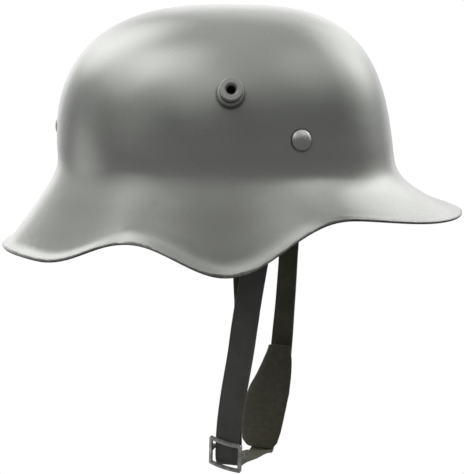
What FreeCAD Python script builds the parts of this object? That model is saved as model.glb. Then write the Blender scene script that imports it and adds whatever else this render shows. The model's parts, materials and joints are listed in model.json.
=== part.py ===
import FreeCAD, Part
import math
import os

V = FreeCAD.Vector
UP = V(0, 0, 1)
ALONG = V(1, 0, 0)
ACROSS = V(0, 1, 0)

# Millimetres. +X points to the visor, +Y to the wearer's left and +Z to the crown.
# Heights run from the plane through the three liner rivets, lengths from the axis of the two lugs.

# Steel shell: the dome
sheet = 1.2
crown_rise = 80.5
break_drop = 19.5
dome_back = 14.0
dome_half_length = 112.2
dome_half_width = 101.0
dome_egg_offset = 2.1
side_power = 2.6
front_power = 0.37
end_power = 0.26
wall_lean_share = 0.03
front_lean_share = 0.08

# The flared skirt and the visor: how low the wavy edge lies, and where it is highest or lowest
brim_back = 5.8
brim_end_overhang = 42.4
brim_side_overhang = 17.0
brim_half_length = dome_half_length + brim_end_overhang
brim_half_width = dome_half_width + brim_side_overhang
brim_egg_offset = -3.0
tip_drop = 55.0
temple_drop = 46.6
lobe_drop = 81.2
notch_drop = 61.4
rear_drop = 78.9
temple_ahead = 69.5
lobe_ahead = 1.2
notch_back = 61.5
rear_back = 120.5
bend_drop_front = 17.0
bend_drop_temple = 8.0
bend_drop_side = 6.0
bend_drop_rear = 12.0
bend_weight = 1.4
lip_width = 8.0
lip_turn = 22.0
lip_steepest = 80.0

# Ventilator lugs
lug_rise = 28.2
lug_reach = 13.5
lug_base_reach = 6.0
lug_base_radius = 9.0
lug_neck_radius = 7.3
lug_shank_radius = 4.0
lug_flare_radius = 4.9
lug_bore_radius = 2.6
lug_mouth_radius = 3.95
lug_mouth_depth = 2.2
lug_edge_round = 0.5
lug_washer_radius = 8.0

# Liner rivets
rivet_ahead = 43.0
rivet_head_radius = 6.5
rivet_head_height = 2.8
rivet_head_round = 2.0
rivet_shank_radius = 2.0
rivet_leg_length = 9.0
rivet_leg_width = 3.4
rivet_leg_thickness = 0.8
washer_radius = 6.2
washer_thickness = 0.8

# Clearances: parts that seat on each other, round fits, flat washers and flat brackets on curved parts, and
# the overrun of cuts
seat_gap = 0.3
fit_gap = 0.1
curve_gap = 0.5
bracket_gap = 0.8
overrun = 2.0

# Steel liner band
band_thickness = 1.0
band_half_height = 13.0

# Leather pads: the head's own form, the strip on the band and the fingers
head_crown = 62.0
head_power = 2.0
leather = 1.8
pad_bottom = -3.0
pad_strip_top = 11.0
pad_gap = 17.0
finger_root = 6.0
finger_half_width = 38.0
finger_shoulder = 34.0
finger_tip = 59.0
finger_tip_half_width = 16.0
finger_corner = 8.0
pad_rivet_radius = 2.6
pad_rivet_head = 0.9
pad_rivet_shank_radius = 1.1
pad_rivet_rise = 3.0
pad_rivet_inset = 9.0

# Horsehair cushions between the fingers and the shell
cushion_bottom = 19.0
cushion_top = 49.0
cushion_half_width = 25.0
cushion_gap_share = 0.11

# Chinstrap brackets on the liner band
eye_ahead = 25.0
eye_out = 80.0
eye_drop = 22.0
bracket_sheet = 1.6
bracket_half_width = 8.0
bracket_eye_radius = 5.4
bracket_rivet_radius = 1.4
bracket_rivet_head_radius = 2.5
bracket_rivet_head = 0.9
bracket_rivet_spacing = 9.0

# Wire fittings at the strap's two ends
wire_radius = 1.3
link_half_width = 4.2
link_bend = 3.0
link_length = 13.0
slot_half_width = 10.6
slot_length = 6.5
slot_bend = 2.2
hook_length = 20.0
nose_drop = 8.5
gate_overlap = 1.5
gate_width = 3.6
gate_thickness = 1.1
gate_barrel_radius = 1.3
gate_pin_radius = 0.7
ear_half_depth = 2.2
ear_thickness = 1.1
right_lean = 11.0
left_lean = 2.0

# Leather chinstrap and the pad on its left half
strap_width = 16.6
strap_thickness = 2.0
strap_fall = 234.0
strap_setback = 32.0
chin_pad_length = 72.5
chin_pad_half_width = 15.5
chin_pad_thickness = 4.6

# Slide buckle
buckle_half_height = 11.2
buckle_bar = 2.0
buckle_bow = 1.4
buckle_side_gap = 1.2

# Steps round a ring of the shell, rings up the dome, how they crowd towards the crown and the added low ones
ring_points = 40
dome_rings = 12
crowding = 0.72
wall_ring_shares = (0.08, 0.155)
skirt_ring_shares = (0.14, 0.28, 0.42, 0.56, 0.70, 0.84, 0.96, 1.12, 1.4, 2.0)

# The strap's middle line from the hook to the link, as shares of its setback, of the eyes' half distance
# and of its fall, with the twist of the leather in degrees
strap_route_shares = (
    (0.29, -1.015, 0.300, 16.0),
    (0.43, -0.981, 0.408, 14.0),
    (0.55, -0.944, 0.504, -6.0),
    (0.66, -0.894, 0.598, -16.0),
    (0.79, -0.831, 0.697, -16.0),
    (0.895, -0.755, 0.785, -20.0),
    (0.945, -0.690, 0.838, -22.0),
    (0.985, -0.605, 0.900, -22.0),
    (0.990, -0.566, 0.927, -22.0),
    (0.965, -0.500, 0.944, -12.0),
    (0.920, -0.400, 0.9505, -4.0),
    (0.7375, -0.050, 0.9718, 0.0),
    (0.519, 0.375, 0.9974, 0.0),
    (0.472, 0.469, 1.0026, 12.0),
    (0.441, 0.5375, 0.9893, 18.0),
    (0.419, 0.5675, 0.9615, 20.0),
    (0.384, 0.605, 0.921, 20.0),
    (0.31, 0.670, 0.853, 20.0),
    (0.18, 0.730, 0.785, 20.0),
    (0.11, 0.760, 0.737, 20.0),
    (0.085, 0.790, 0.700, 24.0),
    (0.01, 0.850, 0.556, 33.0),
    (-0.04, 0.912, 0.425, 36.0),
    (-0.04, 0.994, 0.299, 24.0),
)
buckle_route_index = 8
pad_bend_route_index = 17
pad_top_route_index = 21
strap_frame_count = 140
folded_frame_count = 9
layer_spread_count = 11.0

# Outline shares of the cushions (rise, width, fill) and of the chin pad (run, width, thickness)
cushion_outline_shares = ((0.0, 0.80, 0.30), (0.08, 0.97, 0.62), (0.25, 1.0, 0.88), (0.5, 0.95, 1.0),
                          (0.75, 1.0, 0.88), (0.92, 0.97, 0.62), (1.0, 0.80, 0.30))
chin_pad_outline_shares = ((0.0, 0.53, 0.45), (0.04, 0.57, 0.8), (0.13, 0.69, 0.95), (0.28, 0.84, 1.0),
                           (0.44, 0.98, 1.0), (0.58, 0.98, 1.0), (0.71, 0.93, 1.0), (0.84, 0.84, 0.95),
                           (0.94, 0.70, 0.8), (1.0, 0.42, 0.45))
soft_ring_points = 16
chin_pad_ring_count = 21
pad_side_power = 0.7
pad_face_power = 0.8


# Shared helpers
def placed(shape, place):
    moved = shape.copy()
    moved.Placement = place.multiply(moved.Placement)
    return moved


def mirrored(shape):
    return shape.mirror(V(0, 0, 0), ACROSS)


def rod(radius, low, high):
    return Part.makeCylinder(radius, high - low, V(0, 0, low))


def box(x0, x1, y0, y1, z0, z1):
    return Part.makeBox(x1 - x0, y1 - y0, z1 - z0, V(x0, y0, z0))


def plate_ring(hole_radius, radius, top, bottom):
    return rod(radius, -bottom, -top).cut(rod(hole_radius, -bottom - overrun, -top + overrun))


def turned(outline):
    points = [V(r, 0, z) for r, z in outline]
    face = Part.Face(Part.makePolygon(points + points[:1]))
    return face.revolve(V(0, 0, 0), UP, 360)


def flat_face(edges):
    return Part.Face(Part.Wire([edge.toShape() for edge in edges]))


# A smooth closed curve through the points, as a periodic cubic
def ring(points):
    count = len(points)
    poles = []
    for i, here in enumerate(points):
        bend = points[i - 1] - here * 2 + points[(i + 1) % count]
        poles.append(here - bend * (1 / 6))
    curve = Part.BSplineCurve()
    curve.buildFromPolesMultsKnots(poles, [1] * (count + 1), list(range(count + 1)), True, 3)
    return Part.Wire(curve.toShape())


# Round wire along straight runs joined by arcs of one radius
def bent_wire(points, bend, radius, closed=False):
    count = len(points)
    corners = {}
    for i, corner in enumerate(points):
        if closed or 0 < i < count - 1:
            before = (points[i - 1] - corner).normalize()
            after = (points[(i + 1) % count] - corner).normalize()
            half = before.getAngle(after) / 2
            back = bend / math.tan(half)
            middle = corner + (before + after).normalize() * (bend / math.sin(half) - bend)
            corners[i] = (corner + before * back, middle, corner + after * back)
    edges = []
    for i in range(count if closed else count - 1):
        j = (i + 1) % count
        start = corners[i][2] if i in corners else points[i]
        end = corners[j][0] if j in corners else points[j]
        edges.append(Part.LineSegment(start, end).toShape())
        if j in corners:
            edges.append(Part.Arc(*corners[j]).toShape())
    first = edges[0]
    section = Part.makeCircle(radius, first.valueAt(first.FirstParameter), first.tangentAt(first.FirstParameter))
    return Part.Wire(edges).makePipeShell([Part.Wire(section)], True, False)


# The dome: rings that shrink towards the crown, fuller at the front than at the sides
def dome_at_share(turn, share, inset):
    c = math.cos(turn)
    power = side_power + front_power * c + end_power * c * c
    lean = wall_lean_share + front_lean_share * c
    reach = (1 - share ** power) ** (1 / power) * (1 - lean * share)
    x = reach * ((dome_half_length - inset) * c + dome_egg_offset * c * c) - dome_back
    y = reach * (dome_half_width - inset) * math.sin(turn)
    return V(x, y, share * (crown_rise - inset + break_drop) - break_drop)


def dome_point(turn, height, inset=0):
    return dome_at_share(turn, (height + break_drop) / (crown_rise - inset + break_drop), inset)


def around(place, *more):
    turns = [math.pi + math.tau * i / ring_points for i in range(ring_points)]
    return ring([place(turn, *more) for turn in turns])


def dome_wires(inset):
    shares = [math.sin(math.pi / 2 * i / dome_rings) ** crowding for i in range(dome_rings)]
    shares[1:1] = wall_ring_shares
    apex = Part.Vertex(V(-dome_back, 0, crown_rise - inset))
    return [apex] + [around(dome_at_share, share, inset) for share in reversed(shares)]


def dome_form(inset):
    return Part.makeLoft(dome_wires(inset), True, False)


# The skirt and visor: from the break of the wall the sheet bends outwards to a lip at the wavy edge
rim_places = (brim_half_length + brim_egg_offset - brim_back, temple_ahead, lobe_ahead, -notch_back, -rear_back,
              brim_egg_offset - brim_half_length - brim_back)
rim_drops = (tip_drop, temple_drop, lobe_drop, notch_drop, rear_drop, rear_drop)
bend_drops = (bend_drop_front, bend_drop_temple, bend_drop_side, bend_drop_side, bend_drop_rear, bend_drop_rear)


def eased(place, places, values):
    for start, end, first, last in zip(places, places[1:], values, values[1:]):
        share = (place - start) / (end - start)
        if share <= 1:
            share = max(share, 0)
            return first + (last - first) * share * share * (3 - 2 * share)
    return values[-1]


def rim_point(turn):
    c = math.cos(turn)
    x = brim_half_length * c + brim_egg_offset * c * c - brim_back
    return V(x, brim_half_width * math.sin(turn), -eased(x, rim_places, rim_drops))


def skirt_section(turn):
    root = dome_at_share(turn, 0, 0)
    edge = rim_point(turn)
    out = V(edge.x - root.x, edge.y - root.y, 0)
    run = out.Length
    drop = eased(edge.x, rim_places, bend_drops)
    lean = wall_lean_share + front_lean_share * math.cos(turn)
    corner = (drop * lean * dome_half_length / (crown_rise + break_drop), -break_drop - drop)
    flare = math.atan2(run - lip_width - corner[0], corner[1] - edge.z)
    lip_angle = min(flare + math.radians(lip_turn), math.radians(lip_steepest))
    lip = (run - lip_width * math.sin(lip_angle), edge.z + lip_width * math.cos(lip_angle))
    return root, out.normalize(), corner, lip, (run, edge.z)


def skirt_flat(section, share):
    corner, lip, edge = section[2:]
    if share > 1:
        far = share - 1
        return lip[0] + (edge[0] - lip[0]) * far, lip[1] + (edge[1] - lip[1]) * far
    first = (1 - share) ** 2
    middle = 2 * share * (1 - share) * bend_weight
    last = share ** 2
    whole = first + middle + last
    r = (middle * corner[0] + last * lip[0]) / whole
    return r, (middle * corner[1] + last * lip[1] - first * break_drop) / whole


def skirt_point(turn, share, inset):
    section = skirt_section(turn)
    step = 0.02
    r, z = skirt_flat(section, share)
    r0, z0 = skirt_flat(section, share - step)
    r1, z1 = skirt_flat(section, min(share + step, skirt_ring_shares[-1]))
    along = math.hypot(r1 - r0, z1 - z0)
    r -= inset * (z0 - z1) / along
    z -= inset * (r1 - r0) / along
    root, out = section[:2]
    return root + out * r + UP * (z - root.z)


def shell_skin(inset):
    wires = dome_wires(inset)
    wires += [around(skirt_point, share, inset) for share in skirt_ring_shares]
    return Part.makeLoft(wires, False, False), wires[-1].Edges[0]


def make_shell(holes):
    outer, outer_edge = shell_skin(0)
    inner, inner_edge = shell_skin(sheet)
    edge = Part.makeRuledSurface(outer_edge, inner_edge)
    skin = Part.makeShell(outer.Faces + inner.Faces + edge.Faces)
    skin.sewShape()
    solid = Part.makeSolid(skin)
    if solid.Volume < 0:
        solid.reverse()
    return solid.cut(holes)


# Places on the dome: local Z points out of the steel, local X runs level
def seat(turn, height):
    nudge = 0.001
    step = sheet / 100
    across = dome_point(turn + nudge, height) - dome_point(turn - nudge, height)
    rise = dome_point(turn, height + step) - dome_point(turn, height - step)
    facing = FreeCAD.Rotation(across, V(), across.cross(rise), "ZXY")
    return FreeCAD.Placement(dome_point(turn, height), facing)


def turn_at(ahead, height):
    low, high = 0, math.pi
    for _ in range(50):
        middle = (low + high) / 2
        if dome_point(middle, height).x > ahead:
            low = middle
        else:
            high = middle
    return low


def turn_towards(azimuth):
    return math.atan2(math.sin(azimuth) / dome_half_width, math.cos(azimuth) / dome_half_length)


# Ventilator lug: a stepped hollow stud, its shank flared over a washer inside the shell
lug_washer_top = sheet + curve_gap
lug_flare_top = lug_washer_top + washer_thickness + fit_gap


def make_lug(place, dome_outside):
    base = turned([(0, -overrun), (lug_base_radius, -overrun), (lug_base_radius, lug_base_reach - lug_edge_round),
                   (lug_base_radius - lug_edge_round, lug_base_reach), (0, lug_base_reach)])
    neck = turned([(0, 0), (lug_neck_radius, 0), (lug_neck_radius, lug_reach - lug_edge_round),
                   (lug_neck_radius - lug_edge_round, lug_reach), (0, lug_reach)])
    shank = rod(lug_shank_radius, -lug_flare_top, lug_base_reach / 2)
    flare = rod(lug_flare_radius, -lug_flare_top - washer_thickness, -lug_flare_top)
    bore = rod(lug_bore_radius, -lug_flare_top - washer_thickness - overrun, lug_reach + overrun)
    mouth = Part.makeCone(lug_bore_radius, lug_mouth_radius, lug_mouth_depth,
                          V(0, 0, lug_reach - lug_mouth_depth))
    outside = placed(base.fuse(neck), place).cut(dome_outside)
    return outside.fuse([placed(shank, place), placed(flare, place)]).cut(
        [placed(bore, place), placed(mouth, place)])


def make_lug_washer(place):
    washer = plate_ring(lug_shank_radius + fit_gap, lug_washer_radius, lug_washer_top,
                        lug_washer_top + washer_thickness)
    return placed(washer, place)


# Liner rivet: a domed head outside, a split shank through shell and band, its legs folded over a washer
band_out = sheet + seat_gap
band_in = band_out + band_thickness
rivet_washer_top = band_in + curve_gap
rivet_leg_top = rivet_washer_top + washer_thickness + fit_gap


def make_liner_rivet(place, dome_outside):
    head = rod(rivet_head_radius, -overrun, rivet_head_height)
    top_edge = [edge for edge in head.Edges if edge.CenterOfMass.z > rivet_head_height - fit_gap]
    head = placed(head.makeFillet(rivet_head_round, top_edge), place).cut(dome_outside)
    shank = rod(rivet_shank_radius, -rivet_leg_top - rivet_leg_thickness, rivet_head_height / 2)
    legs = box(-rivet_leg_width / 2, rivet_leg_width / 2, -rivet_leg_length, rivet_leg_length,
               -rivet_leg_top - rivet_leg_thickness, -rivet_leg_top)
    return head.fuse([placed(shank, place), placed(legs, place)])


def make_liner_washer(place):
    washer = plate_ring(rivet_shank_radius + fit_gap, washer_radius, rivet_washer_top,
                        rivet_washer_top + washer_thickness)
    return placed(washer, place)


# Liner band: a hoop that follows the inside of the dome's wall
def wall_form(half_height, inset):
    steps = 4
    heights = [half_height * (2 * i / steps - 1) for i in range(steps + 1)]
    wires = [around(dome_point, height, inset) for height in heights]
    return Part.makeLoft(wires, True, False)


def make_band(holes):
    outer = wall_form(band_half_height, band_out)
    return outer.cut([wall_form(band_half_height + overrun, band_in)] + holes)


# Leather pads: the leather's inner face lies on the head's own form, its outer face one thickness out
pad_in = band_in + 2 * seat_gap + leather


def head_point(turn, height, out):
    share = (height - pad_bottom) / (head_crown + out - pad_bottom)
    base = dome_point(turn, pad_bottom, pad_in - out)
    reach = (1 - share ** head_power) ** (1 / head_power)
    return V((base.x + dome_back) * reach - dome_back, base.y * reach, height)


def head_form(out):
    top = head_crown + out
    wires = [Part.Vertex(V(-dome_back, 0, top))]
    for i in range(dome_rings):
        share = math.sin(math.pi / 2 * (1 - (i + 1) / dome_rings))
        wires.append(around(head_point, pad_bottom + (top - pad_bottom) * share, out))
    return Part.makeLoft(wires, True, False)


def sector(first, last, low, high):
    centre = V(-dome_back, 0, low)
    steps = 6
    corners = [centre]
    for i in range(steps + 1):
        azimuth = first + (last - first) * i / steps
        corners.append(centre + V(math.cos(azimuth), math.sin(azimuth), 0) * brim_half_length)
    return Part.Face(Part.makePolygon(corners + corners[:1])).extrude(UP * (high - low))


def finger_cutter(azimuth):
    out = V(math.cos(azimuth), math.sin(azimuth), 0)
    side = V(-out.y, out.x, 0)
    outline = [(finger_half_width, finger_root), (finger_half_width, finger_shoulder),
               (finger_tip_half_width, finger_tip), (-finger_tip_half_width, finger_tip),
               (-finger_half_width, finger_shoulder), (-finger_half_width, finger_root)]
    points = [side * across + UP * height - ALONG * dome_back for across, height in outline]
    prism = Part.Face(Part.makePolygon(points + points[:1])).extrude(out * brim_half_length)
    corners = [edge for edge in prism.Edges
               if edge.Length > brim_half_length / 2 and edge.CenterOfMass.z > finger_root + overrun]
    return prism.makeFillet(finger_corner, corners)


def finger_azimuths(first, last):
    quarter = (last - first) / 4
    return first + quarter, last - quarter


def make_pad(first, last, holes):
    fingers = [finger_cutter(azimuth) for azimuth in finger_azimuths(first, last)]
    cutter = sector(first, last, pad_bottom, pad_strip_top).fuse(fingers)
    return head_form(leather).cut(head_form(0)).common(cutter).cut(holes)


def pad_rivet_places(first, last):
    inset = pad_rivet_inset / dome_half_length
    for azimuth in (first + inset, (first + last) / 2, last - inset):
        turn = turn_towards(azimuth)
        depth = (dome_point(turn, pad_rivet_rise) - head_point(turn, pad_rivet_rise, 0)).Length + seat_gap
        yield seat(turn, pad_rivet_rise), depth


def make_pad_rivet(place, depth):
    shank = rod(pad_rivet_shank_radius, -depth, -band_out)
    head = rod(pad_rivet_radius, -depth - pad_rivet_head, -depth)
    return placed(shank.fuse(head), place)


def pad_rivet_hole(place, depth):
    return placed(rod(pad_rivet_shank_radius + fit_gap, -depth - overrun, 0), place)


# Cushions: crowned pillows with drawn-in sides that fill the space between a finger and the shell
def make_cushion(azimuth):
    centre = turn_towards(azimuth)
    half_turn = cushion_half_width / dome_half_width
    wires = []
    for rise_share, width_share, fill_share in cushion_outline_shares:
        height = cushion_bottom + (cushion_top - cushion_bottom) * rise_share
        points = []
        for i in range(soft_ring_points):
            angle = math.tau * i / soft_ring_points
            turn = centre + half_turn * width_share * math.cos(angle)
            inner = head_point(turn, height, leather)
            outer = dome_point(turn, height, sheet)
            share = 0.5 + (0.5 - cushion_gap_share) * fill_share * math.sin(angle)
            points.append(inner + (outer - inner) * share)
        wires.append(Part.makePolygon(points + points[:1]))
    return Part.makeLoft(wires, True, True)


# Chinstrap bracket, made on the wearer's right: a plate on the band, a shelf inwards and a lobe with an eye
eye = V(eye_ahead, -eye_out, -eye_drop)
eye_radius = wire_radius + seat_gap
shelf_top = -band_half_height - seat_gap
shelf_bottom = shelf_top - bracket_sheet
bracket_height = (pad_bottom - band_half_height) / 2


def bracket_directions():
    place = seat(-turn_at(eye_ahead, bracket_height), bracket_height)
    along = place.Rotation.multVec(ALONG)
    return along, along.cross(UP)


def bracket_base():
    return dome_point(-turn_at(eye_ahead, bracket_height), bracket_height, band_in + bracket_gap)


def make_bracket(holes):
    along, out = bracket_directions()
    base = bracket_base()
    top = pad_bottom - 2 * seat_gap
    plate = box(-bracket_half_width, bracket_half_width, 0, bracket_sheet, shelf_bottom - base.z, top - base.z)
    plate = placed(plate, FreeCAD.Placement(base, FreeCAD.Rotation(along, V(), UP, "ZXY")))
    root = V(base.x, base.y, shelf_bottom)
    lobe_root = V(eye_ahead, -eye_out + bracket_sheet / 2, shelf_bottom)
    outline = [root - along * bracket_half_width, root + along * bracket_half_width,
               lobe_root + ALONG * bracket_half_width, lobe_root - ALONG * bracket_half_width]
    shelf = Part.Face(Part.makePolygon(outline + outline[:1])).extrude(UP * bracket_sheet)
    left, right = eye - ALONG * bracket_eye_radius, eye + ALONG * bracket_eye_radius
    up_left = V(eye_ahead - bracket_half_width, -eye_out, shelf_top)
    up_right = V(eye_ahead + bracket_half_width, -eye_out, shelf_top)
    lobe = flat_face([Part.LineSegment(up_left, up_right), Part.LineSegment(up_right, right),
                      Part.Arc(right, eye - UP * bracket_eye_radius, left), Part.LineSegment(left, up_left)])
    lobe.translate(ACROSS * (-bracket_sheet / 2))
    lobe = lobe.extrude(ACROSS * bracket_sheet)
    hole = Part.makeCylinder(eye_radius, 4 * bracket_sheet, eye - ACROSS * (2 * bracket_sheet), ACROSS)
    return plate.fuse([shelf, lobe]).cut([hole] + holes)


def bracket_rivet_places():
    along, out = bracket_directions()
    for side in (-1, 1):
        point = bracket_base() + along * (side * bracket_rivet_spacing / 2)
        yield FreeCAD.Placement(point, FreeCAD.Rotation(along, V(), out, "ZXY"))


def make_bracket_rivet(place):
    reach = bracket_sheet + fit_gap
    shank = rod(bracket_rivet_radius, -reach, bracket_gap + band_thickness - seat_gap)
    head = rod(bracket_rivet_head_radius, -reach - bracket_rivet_head, -reach)
    return placed(shank.fuse(head), place)


def bracket_rivet_hole(place):
    return placed(rod(bracket_rivet_radius + fit_gap, -2 * overrun, 2 * overrun), place)


# Wire fittings, made hanging straight down from the right eye and then leaned about it
def leaned(shape, degrees):
    return placed(shape, FreeCAD.Placement(V(0, 0, 0), FreeCAD.Rotation(ACROSS, degrees), eye))


def slot_loop(drop):
    left, right = eye - V(slot_half_width, 0, drop), eye - V(-slot_half_width, 0, drop)
    low = V(0, 0, -slot_length)
    return bent_wire([left, right, right + low, left + low], slot_bend, wire_radius, True)


def make_link():
    side = V(0, link_half_width, 0)
    low = V(0, 0, -link_length)
    oval = bent_wire([eye - side, eye + side, eye + side + low, eye - side + low], link_bend, wire_radius, True)
    return leaned(oval.fuse(slot_loop(link_length)), left_lean)


gate_out = link_half_width - wire_radius - fit_gap - gate_thickness / 2
gate_pin_drop = hook_length - wire_radius - seat_gap - gate_barrel_radius


def make_hook():
    side = V(0, link_half_width, 0)
    low = V(0, 0, -hook_length)
    wire = bent_wire([eye - side - UP * nose_drop, eye - side, eye + side, eye + side + low, eye + low],
                     link_bend, wire_radius)
    inner = gate_width / 2 + fit_gap
    ears = []
    for x in (-inner - ear_thickness, inner):
        ear = box(x, x + ear_thickness, -gate_out - ear_half_depth, -gate_out + ear_half_depth,
                  -hook_length, -gate_pin_drop + ear_half_depth)
        ear.translate(eye)
        ears.append(ear)
    pin_hole = Part.makeCylinder(gate_pin_radius + fit_gap, 4 * gate_width,
                                 eye - V(2 * gate_width, gate_out, gate_pin_drop), ALONG)
    return leaned(wire.fuse([slot_loop(hook_length)] + ears).cut(pin_hole), right_lean)


def make_gate():
    leaf = box(-gate_width / 2, gate_width / 2, -gate_out - gate_thickness / 2, -gate_out + gate_thickness / 2,
               -gate_pin_drop, gate_overlap - nose_drop)
    start = V(-gate_width / 2, -gate_out, -gate_pin_drop)
    barrel = Part.makeCylinder(gate_barrel_radius, gate_width, start, ALONG)
    hole = Part.makeCylinder(gate_pin_radius + fit_gap, 2 * gate_width, start - ALONG * (gate_width / 2), ALONG)
    gate = leaf.fuse(barrel).cut(hole)
    gate.translate(eye)
    return leaned(gate, right_lean)


def make_gate_pin():
    half = gate_width / 2 + fit_gap + ear_thickness + fit_gap
    pin = Part.makeCylinder(gate_pin_radius, 2 * half, eye - V(half, gate_out, gate_pin_drop), ALONG)
    return leaned(pin, right_lean)


# Chinstrap: one leather strap along one path, folded back over the bars of the hook and the link
layer_out = wire_radius + seat_gap + strap_thickness / 2


def slot_bar(side, lean, drop):
    angle = math.radians(lean)
    down = V(-math.sin(angle), 0, -math.cos(angle))
    return V(eye_ahead, side * eye_out, -eye_drop) + down * drop, down


right_bar, right_down = slot_bar(-1, right_lean, hook_length + slot_length)
left_bar, left_down = slot_bar(1, left_lean, link_length + slot_length)


def strap_points():
    points = [right_bar - ACROSS * layer_out]
    for back, across, fall, _ in strap_route_shares:
        points.append(V(eye_ahead - strap_setback * back, eye_out * across, -strap_fall * fall))
    return points + [left_bar + ACROSS * layer_out]


def strap_curve():
    curve = Part.BSplineCurve()
    curve.interpolate(strap_points(), InitialTangent=right_down, FinalTangent=left_down * -1)
    return curve


# A frame on the path: the point, the run, the leather's width and its inner side
def frame_on(curve, parameter, twist):
    run = curve.tangent(parameter)[0]
    run.normalize()
    angle = math.radians(twist)
    side = 1 if run.z <= 0 else -1
    across = V(math.cos(angle), math.sin(angle) * side, 0)
    across = (across - run * across.dot(run)).normalize()
    return curve.value(parameter), run, across, across.cross(run)


def strap_stops(curve):
    stops = [curve.length(curve.FirstParameter, curve.parameter(point)) for point in strap_points()[1:]]
    return [0] + stops


def frame_at(curve, stops, distance):
    twists = [0] + [share[3] for share in strap_route_shares] + [0]
    parameter = curve.parameterAtDistance(distance, curve.FirstParameter)
    return frame_on(curve, parameter, eased(distance, stops, twists))


def strap_frames(curve, stops):
    step = stops[-1] / (strap_frame_count - 1)
    return [frame_at(curve, stops, step * i) for i in range(strap_frame_count)]


def strap_section(centre, across, inner):
    corners = []
    for a, b in ((-1, -1), (1, -1), (1, 1), (-1, 1)):
        corners.append(centre + across * (a * strap_width / 2) + inner * (b * strap_thickness / 2))
    return Part.makePolygon(corners + corners[:1])


def leather_run(frames):
    sections = [strap_section(centre, across, inner) for centre, _, across, inner in frames]
    return Part.makeLoft(sections, False, True), Part.Face(sections[0]), Part.Face(sections[-1])


# The inner layer stands off at the bar and at the buckle and lies against the outer one between them
def inner_layer(frames):
    last = len(frames) - 1
    lying = strap_thickness + seat_gap
    layer = []
    for i, (centre, run, across, inner) in enumerate(frames):
        rise = max(1 - i / layer_spread_count, 1 - (last - i) / layer_spread_count, 0)
        inward = lying + (2 * layer_out - lying) * rise * rise * (3 - 2 * rise)
        layer.append((centre + inner * inward, run, across, inner))
    return layer


def over_bar(frame, bar, side):
    centre, _, across, inner = frame
    return strap_section(centre, across, inner).revolve(bar, across * side, 180)


def make_chinstrap(frames, stops):
    to_buckle = math.ceil(stops[buckle_route_index] / stops[-1] * strap_frame_count) + 1
    outer = leather_run(frames)[0]
    doubled, _, doubled_end = leather_run(inner_layer(frames[:to_buckle]))
    folded, folded_end, _ = leather_run(inner_layer(frames[-folded_frame_count:]))
    turns = [over_bar(frames[0], right_bar, -1), over_bar(frames[-1], left_bar, 1)]
    faces = [face for run in (outer, doubled, folded, *turns) for face in run.Faces]
    skin = Part.makeShell(faces + [doubled_end, folded_end])
    skin.sewShape()
    solid = Part.makeSolid(skin)
    if solid.Volume < 0:
        solid.reverse()
    return solid


def between(place, rows):
    for low, high in zip(rows, rows[1:]):
        if place <= high[0]:
            share = (place - low[0]) / (high[0] - low[0])
            return [a + (b - a) * share for a, b in zip(low[1:], high[1:])]
    return rows[-1][1:]


def make_chin_pad(curve, stops):
    top, bend = stops[pad_top_route_index], stops[pad_bend_route_index]
    out = strap_thickness / 2 + seat_gap + chin_pad_thickness / 2
    wires = []
    for i in range(chin_pad_ring_count):
        run_share = i / (chin_pad_ring_count - 1)
        width_share, thick_share = between(run_share, chin_pad_outline_shares)
        distance = top - chin_pad_length * run_share
        centre, run, across, inner = frame_at(curve, stops, max(distance, bend))
        centre = centre + run * min(distance - bend, 0)
        points = []
        for j in range(soft_ring_points):
            c, s = math.cos(math.tau * j / soft_ring_points), math.sin(math.tau * j / soft_ring_points)
            wide = math.copysign(abs(c) ** pad_side_power, c) * chin_pad_half_width * width_share
            thick = math.copysign(abs(s) ** pad_face_power, s) * chin_pad_thickness / 2 * thick_share
            points.append(centre + across * wide + inner * (out + thick))
        wires.append(Part.makePolygon(points + points[:1]))
    return Part.makeLoft(wires, True, True)


# Slide buckle: a bowed frame in front of the strap and a bar between its two layers
def make_buckle(curve, stops):
    centre, run, across, inner = frame_at(curve, stops, stops[buckle_route_index])
    window_half = strap_width / 2 + buckle_side_gap
    half_width = window_half + buckle_bar
    front = strap_thickness / 2 + seat_gap
    back = -front - buckle_bar
    bow_radius = (half_width ** 2 + buckle_bow ** 2) / (2 * buckle_bow)
    axis = V(0, -2 * buckle_half_height, front + buckle_bow - bow_radius)
    bowed = Part.makeCylinder(bow_radius + buckle_bar, 4 * buckle_half_height, axis, ACROSS).cut(
        Part.makeCylinder(bow_radius, 4 * buckle_half_height, axis, ACROSS))
    top = front + buckle_bow + 2 * buckle_bar
    block = box(-half_width, half_width, -buckle_half_height, buckle_half_height, back, top)
    upright = [edge for edge in block.Edges if edge.BoundBox.ZLength > buckle_bar]
    block = block.makeFillet(buckle_bar / 2, upright)
    window_rise = buckle_half_height - buckle_bar
    window = box(-window_half, window_half, -window_rise, window_rise, back - overrun, top + overrun)
    plate = bowed.common(block).cut(window)
    bar = box(-half_width, half_width, -buckle_bar / 2, buckle_bar / 2, back, -front)
    posts = [box(x, x + buckle_bar, -buckle_bar / 2, buckle_bar / 2, back, front + buckle_bar / 2)
             for x in (-half_width, window_half)]
    place = FreeCAD.Placement(centre, FreeCAD.Rotation(across, run * -1, inner * -1, "ZXY"))
    return placed(plate.fuse([bar] + posts), place)


# The parts
os.makedirs("parts", exist_ok=True)


def write(name, *solids):
    shape = solids[0] if len(solids) == 1 else Part.makeCompound(list(solids))
    if len(shape.Solids) != len(solids) or not shape.isValid():
        print("look at", name, len(shape.Solids), shape.isValid())
    shape.exportStep("parts/" + name + ".step")


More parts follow.
